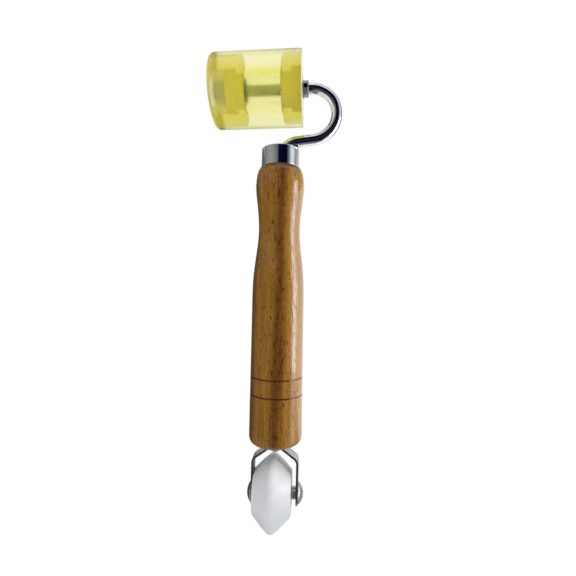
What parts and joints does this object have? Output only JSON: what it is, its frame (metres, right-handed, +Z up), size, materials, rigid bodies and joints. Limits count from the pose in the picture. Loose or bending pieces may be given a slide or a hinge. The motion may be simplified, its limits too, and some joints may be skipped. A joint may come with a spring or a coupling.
{
  "type": "double ended seam roller",
  "caption": "Hand seam roller: wide translucent roller on a hooked rod at one end of a turned wooden handle, a V-edged wheel in a fork at the other.",
  "frame": {"origin": "on the handle's axis at its waist, the narrow place where a rack clip grips it", "axes": "+Y along the handle towards the wide roller, +X across the tool towards the hook, +Z up from the surface the tool lies on"},
  "size_m": [0.073, 0.2686, 0.0426],
  "materials": {
    "lacquered_beech": "turned beech under clear gloss lacquer, with two burned rings",
    "chrome_plate": "bright chrome plating",
    "nickel_plate": "bright nickel plating",
    "black_oxide": "black oxide",
    "zinc_plate": "zinc plating",
    "nut_nylon": "nylon",
    "clear_polyurethane": "translucent straw yellow cast polyurethane",
    "amber_polyurethane": "translucent deep yellow polyurethane",
    "bearing_steel": "ground bearing steel",
    "pressed_steel": "pressed steel",
    "seal_rubber": "black nitrile rubber",
    "fork_steel": "plated steel strip, dull",
    "white_acetal": "white acetal, smooth"
  },
  "bodies": {
    "handle_assembly": {"handle_grip": "lacquered_beech", "ferrule": "chrome_plate", "hook_rod": "chrome_plate", "stop_collar": "nickel_plate", "collar_set_screw": "black_oxide", "hook_side_washer": "zinc_plate", "free_side_washer": "zinc_plate", "axle_lock_nut": "zinc_plate", "lock_nut_insert": "nut_nylon", "free_bearing_inner_ring": "bearing_steel", "hook_bearing_inner_ring": "bearing_steel", "fork": "fork_steel", "fork_screw": "zinc_plate", "wheel_sleeve": "zinc_plate", "axle_barrel": "nickel_plate", "axle_screw": "nickel_plate"},
    "wide_roller": {"roller_tyre": "clear_polyurethane", "free_end_hub": "amber_polyurethane", "hook_end_hub": "amber_polyurethane", "free_bearing_outer_ring": "bearing_steel", "hook_bearing_outer_ring": "bearing_steel", "free_bearing_seals": "seal_rubber", "hook_bearing_seals": "seal_rubber"},
    "free_bearing_ball_set": {"free_bearing_balls": "bearing_steel", "free_bearing_cage": "pressed_steel"},
    "hook_bearing_ball_set": {"hook_bearing_balls": "bearing_steel", "hook_bearing_cage": "pressed_steel"},
    "seam_wheel": {"v_wheel": "white_acetal"}
  },
  "joints": [
    {"name": "roller_spin", "type": "hinge", "parent": "handle_assembly", "child": "wide_roller", "pos_m": [-0.01324, 0.07859, -0.00058], "axis": [0.9989, 0.0175, 0.0436], "continuous": true},
    {"name": "free_bearing_orbit", "type": "hinge", "parent": "handle_assembly", "child": "free_bearing_ball_set", "pos_m": [-0.02787, 0.07834, -0.00122], "axis": [0.9989, 0.0175, 0.0436], "continuous": true},
    {"name": "hook_bearing_orbit", "type": "hinge", "parent": "handle_assembly", "child": "hook_bearing_ball_set", "pos_m": [0.00824, 0.07897, 0.00036], "axis": [0.9989, 0.0175, 0.0436], "continuous": true},
    {"name": "wheel_spin", "type": "hinge", "parent": "handle_assembly", "child": "seam_wheel", "pos_m": [0, -0.1486, 0], "axis": [0.9994, 0, 0.0349], "continuous": true}
  ],
  "couplings": [
    {"joint": "free_bearing_orbit", "follows": "roller_spin", "ratio": 0.6295},
    {"joint": "hook_bearing_orbit", "follows": "roller_spin", "ratio": 0.6295}
  ]
}
